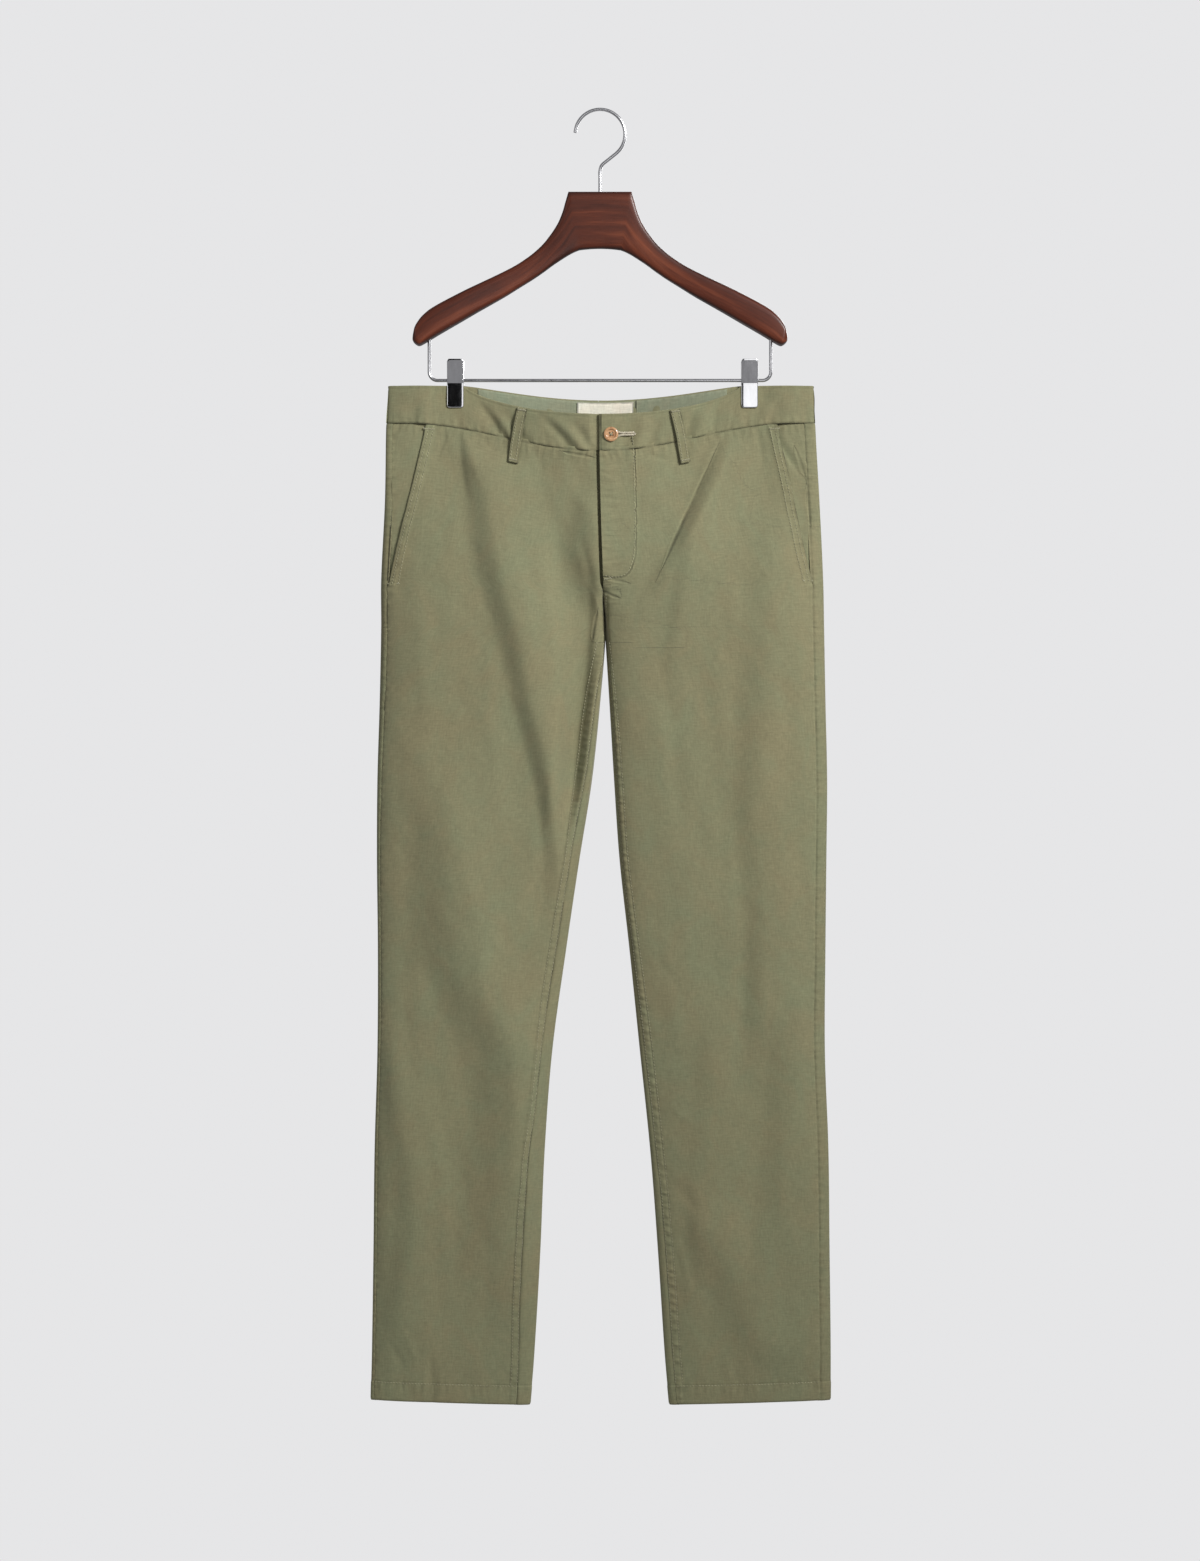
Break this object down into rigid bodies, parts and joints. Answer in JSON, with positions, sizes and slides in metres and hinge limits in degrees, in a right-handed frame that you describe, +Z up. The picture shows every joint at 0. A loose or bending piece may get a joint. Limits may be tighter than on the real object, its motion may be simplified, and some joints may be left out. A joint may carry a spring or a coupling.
{
  "type": "chino trousers on a clip hanger",
  "caption": "Slim cotton chino trousers hung flat by the waistband from spring clips on a contoured wooden trouser hanger with a wire hook.",
  "frame": {"origin": "top of the inside of the hanger's hook, where a rail carries it", "axes": "+Z up, +X towards the wearer's left leg, front of the trousers facing -Y"},
  "size_m": [0.4855, 0.0609, 1.374],
  "materials": {
    "chino": "matt cotton twill",
    "facing": "matt cotton",
    "label": "matt woven",
    "horn": "polished horn look",
    "wood": "satin varnish",
    "chrome": "polished"
  },
  "bodies": {
    "root": {"front_right": "chino", "back_right": "chino", "pocket_facing_right": "chino", "waistband_right": "chino", "hem_turn_up_right": "chino", "front_left": "chino", "back_left": "chino", "pocket_facing_left": "chino", "waistband_left": "chino", "hem_turn_up_left": "chino", "fly_shield": "chino", "waistband_facing_back": "facing", "neck_label_blank": "label", "belt_loop_front_right": "chino", "belt_loop_front_left": "chino", "belt_loop_back_right": "chino", "belt_loop_back_left": "chino", "belt_loop_back_centre": "chino", "waist_button": "horn", "hanger_body": "wood", "hanger_hook": "chrome", "hanger_bar": "chrome", "clip_plate_front_right": "chrome", "clip_plate_back_right": "chrome", "clip_spring_right": "chrome", "clip_plate_front_left": "chrome", "clip_plate_back_left": "chrome", "clip_spring_left": "chrome"}
  },
  "joints": []
}
